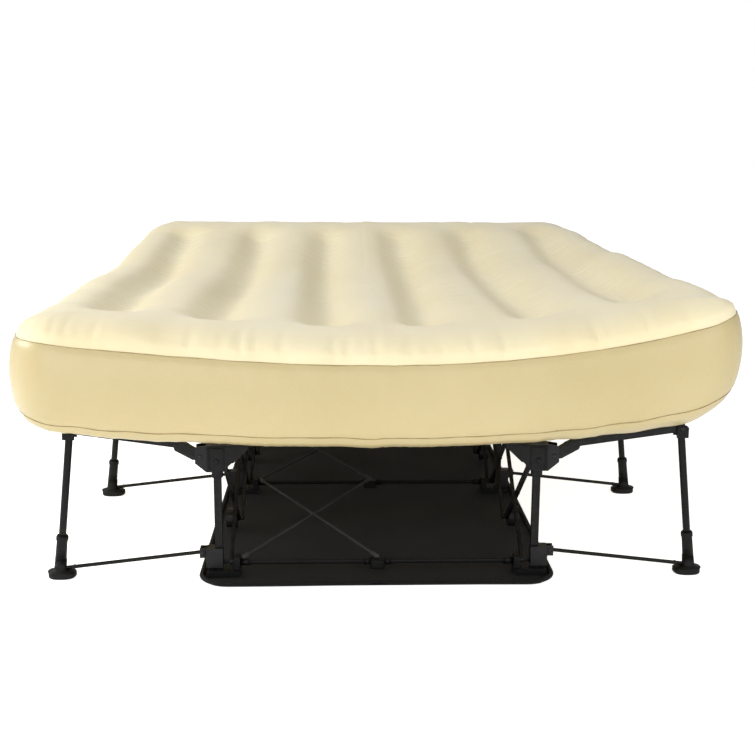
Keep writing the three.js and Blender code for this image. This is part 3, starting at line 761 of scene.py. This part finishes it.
def bracket_faces():
    """Raised faces, ribs and a pin head on both sides of each top bracket, and a collar on the post."""
    for side, sign in SIDES:
        for station in STATIONS:
            body = f"post_{side}_{station}"
            y = middle_y(body)
            shape = Shape()
            for face in (-1, 1):
                rib_y = face * FACE_OUTER
                y0, y1 = sorted((face * FACE_INNER, rib_y))
                shape.plate(FACE_OUTLINE, y0, y1, 0.0008)
                shape.tube([(x, rib_y, TOP_RIB_Z) for x in TOP_RIB_X], TOP_RIB_R, 8)
                for x in SIDE_RIB_X:
                    shape.tube([(x, rib_y, z) for z in SIDE_RIB_Z], SIDE_RIB_R, 8)
                pin = (POST_X, face * BRACKET_PIN_Y, BRACKET_PIN_Z)
                shape.head(pin, (0, face, 0), BRACKET_PIN_R, BRACKET_PIN_RISE)
            shape.loft([ellipse(POST_X, COLLAR_HALF, COLLAR_HALF, z, 16, 6) for z in COLLAR_Z])
            placed(shape, sign, y).piece(f"bracket_{side}_{station}", "plastic", body, "plastic")


RIVET_X = 0.3388  # just outside the scissor pins
RIVET_R, RIVET_RISE = 0.0062, 0.0028  # a scissor pin's head
HEAD_R, HEAD_RISE, HEAD_SUNK = 0.0058, 0.003, 0.0002  # an outrigger pin's head
# How far a pin's heads stand from the middle of each outrigger joint, and which body they ride on.
PIVOT_HEADS = {"arm": (0.017, "parent"), "leg": (0.016, "child"), "strut": (0.011, "parent")}


def rivets():
    """One rivet head outside each scissor pivot, and one on both ends of every outrigger's pin."""
    heads, filled = {}, set()
    for joint in JOINTS:
        x, y, z = joint["pos_m"]
        if abs(joint["axis"][0]) > 0.5:
            sides = [sign for word, sign in SIDES if word in joint["child"]] or [1, -1]
            for sign in sides:
                pivot = (sign, round(y, 4), round(z, 4))
                if pivot not in filled:
                    filled.add(pivot)
                    shape = heads.setdefault(joint["child"], Shape())
                    shape.head((sign * RIVET_X, y, z), (sign, 0, 0), RIVET_R, RIVET_RISE)
        kind = joint["child"].split("_")[0]
        if kind in PIVOT_HEADS:
            reach, holder = PIVOT_HEADS[kind]
            shape = heads.setdefault(joint[holder], Shape())
            for face in (-1, 1):
                shape.head((x, y + face * (reach - HEAD_SUNK), z), (0, face, 0), HEAD_R, HEAD_RISE)
    for body, shape in heads.items():
        shape.piece(f"rivets_{body}", "rivet", body, "steel")


RIB_X, RIB_HALF_Y, RIB_Z, RIB_R = (0.322, 0.330, 0.363, 0.371), 0.0235, 0.0168, 0.0014
FERRULE_X, FERRULE_Z, FERRULE_R = ((0.282, 0.304), (0.0135, 0.030)), 0.030, 0.0075
HUB_HALF_X, HUB_HALF_Y, HUB_Z = 0.0165, 0.0145, (0.017, 0.019, 0.0345, 0.0368)


def floor_fittings():
    """Ribs on each foot block, a rounded cap on the hub, and ferrules where the floor rod meets them."""
    for station in STATIONS:
        node = f"base_rail_{station}"
        body = "base" if station == 2 else node
        y = middle_y(node)
        shape = Shape()
        for sign in (1, -1):
            for x in RIB_X:
                shape.tube([(sign * x, y - RIB_HALF_Y, RIB_Z), (sign * x, y + RIB_HALF_Y, RIB_Z)], RIB_R, 6)
            for x0, x1 in FERRULE_X:
                shape.tube([(sign * x0, y, FERRULE_Z), (sign * x1, y, FERRULE_Z)], FERRULE_R, 16)
        rings = [ellipse(0, HUB_HALF_X, HUB_HALF_Y, z, 24, 5) for z in HUB_Z]
        shape.loft([[p + Vector((0, y, 0)) for p in ring] for ring in rings])
        shape.piece(f"floor_fittings_{station}", "plastic", body, "plastic")


STRUT_ROOT, STRUT_TIP = Vector((0.385, 0, 0.055)), Vector((0.670, 0, 0.022))
STRUT_R = 0.0042
STRUT_FROM, STRUT_PAST = 0.006, 0.016  # the tube starts outside the eye and runs on into the boss


def strut_tubes():
    """The tube of every strut, from its eye at the post to the boss of the leg's pad."""
    along = (STRUT_TIP - STRUT_ROOT).normalized()
    start, end = STRUT_ROOT + along * STRUT_FROM, STRUT_TIP + along * STRUT_PAST
    for side, sign in SIDES:
        for station in STATIONS:
            body = f"strut_{side}_{station}"
            shape = placed(Shape().tube([start, end], STRUT_R, 14), sign, middle_y(body))
            shape.piece(f"tube_{body}", "steel", body, "steel")


# ---- pump ----
RIM_OUT, RIM_CORNER, RIM_HALF_WIDTH, RIM_HEIGHT, RIM_SIDES = 0.004, 0.018, 0.008, 0.0055, 10
GRILLE_BARS, GRILLE_LOW, GRILLE_PITCH, GRILLE_X, GRILLE_R = 6, 0.020, 0.008, (0.004, 0.070), 0.0016


def pump_rim():
    """A rounded flange round the pump, and grille bars beside the knob."""
    low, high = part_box("pump_housing")
    y = high.y
    centre_x, centre_z = (low.x + high.x) / 2, (low.z + high.z) / 2
    shape = Shape()
    half_x, half_z = (high.x - low.x) / 2 + RIM_OUT, (high.z - low.z) / 2 + RIM_OUT
    outline = rounded_outline(half_x, half_z, RIM_CORNER, 8, 6)
    path = [(centre_x + px, y - 0.002, centre_z + pz) for px, pz in outline]
    rings = []
    for k, point in enumerate(path):
        before, after = Vector(path[k - 1]), Vector(path[(k + 1) % len(path)])
        along = (after - before).normalized()
        side = along.cross(Vector((0, 1, 0))).normalized()
        turns = [2 * math.pi * t / RIM_SIDES for t in range(RIM_SIDES)]
        rings.append([Vector(point) + side * RIM_HALF_WIDTH * math.cos(t)
                      + Vector((0, RIM_HEIGHT * math.sin(t), 0)) for t in turns])
    shape.loft(rings, closed=True)
    for k in range(GRILLE_BARS):
        z = centre_z - GRILLE_LOW + GRILLE_PITCH * k
        shape.tube([(centre_x + x, y, z) for x in GRILLE_X], GRILLE_R, 8)
    shape.piece("pump_rim", "plastic", "post_right_4", "plastic")


# ---- CAD nodes that stay ----
def dress_frame():
    """Every CAD node that stays in view gets a procedural finish."""
    slots = {part["node"]: part["material_slot"] for part in frame["record"]["subparts"]}
    for name, node in NODES.items():
        look = LOOKS[slots[name]]
        if not node.material_slots:
            node.data.materials.append(look)
        for place in node.material_slots:
            place.material = look


# ---- stage ----
LENS_MM, SENSOR_MM = 55.1, 36.0
CAMERA_AT = Vector((-0.087, -3.336, 0.957))
PITCH, YAW, ROLL = 0.2059, -0.0350, 0.0055  # radians: down, to the right, clockwise


def camera():
    """The camera in front of the foot end."""
    ahead = Vector((-math.sin(YAW), math.cos(YAW), 0))
    right = Vector((math.cos(YAW), math.sin(YAW), 0))
    up = ahead * math.sin(PITCH) + Vector((0, 0, math.cos(PITCH)))
    forward = ahead * math.cos(PITCH) - Vector((0, 0, math.sin(PITCH)))
    rolled_right = right * math.cos(ROLL) + up * math.sin(ROLL)
    rolled_up = up * math.cos(ROLL) - right * math.sin(ROLL)
    turn = Matrix((rolled_right, rolled_up, -forward)).transposed().to_4x4()
    data = bpy.data.cameras.new("camera")
    data.lens, data.sensor_width = LENS_MM, SENSOR_MM
    made = bpy.data.objects.new("camera", data)
    made.matrix_world = Matrix.Translation(CAMERA_AT) @ turn
    bpy.context.scene.collection.objects.link(made)
    bpy.context.scene.camera = made


AMBIENT = 0.42  # the white surroundings' light on the object; the camera sees them at full strength
FLOOR_HALF = 30.0
FLOOR_Z = -0.0005
# Each lamp: where it stands, where it points, its diameter and its power in watts.
LAMPS = {
    "key": ((-3.0, -0.6, 1.9), (0.2, 0.1, 0.5), 1.3, 58),
    "fill": ((2.0, -3.4, 1.8), (0, -0.8, 0.3), 2.4, 34),
    "front": ((-1.2, -3.6, 1.4), (0, -1.0, 0.4), 1.8, 26),
}


def area_light(name, at, towards, size, power):
    """A round lamp turned towards a point."""
    data = bpy.data.lights.new(name, "AREA")
    data.shape, data.size, data.energy = "DISK", size, power
    made = bpy.data.objects.new(name, data)
    made.location = at
    made.rotation_mode = "QUATERNION"
    made.rotation_quaternion = (Vector(towards) - Vector(at)).to_track_quat("-Z", "Y")
    bpy.context.scene.collection.objects.link(made)


def stage():
    """The white floor, the surroundings and the lamps."""
    corners = [(x * FLOOR_HALF, y * FLOOR_HALF, 0) for x, y in ((-1, -1), (1, -1), (1, 1), (-1, 1))]
    floor = make_piece("floor", corners, [(0, 1, 2, 3)], ["floor"])
    floor.location.z = FLOOR_Z
    world = bpy.data.worlds.new("world")
    bpy.context.scene.world = world
    world.use_nodes = True
    background = world.node_tree.nodes["Background"]
    background.inputs[0].default_value = (1.0, 1.0, 1.0, 1.0)
    seen = world.node_tree.nodes.new("ShaderNodeLightPath").outputs["Is Camera Ray"]
    strength = world.node_tree.nodes.new("ShaderNodeMapRange")
    strength.inputs["To Min"].default_value = AMBIENT
    strength.inputs["To Max"].default_value = 1.0
    world.node_tree.links.new(seen, strength.inputs["Value"])
    world.node_tree.links.new(strength.outputs[0], background.inputs[1])
    for name, lamp in LAMPS.items():
        area_light(name, *lamp)
    bpy.context.scene.view_settings.view_transform = "Standard"


mattress()
ground_sheet()
floor_crosses()
legs()
bracket_faces()
rivets()
floor_fittings()
strut_tubes()
pump_rim()
dress_frame()
camera()
stage()
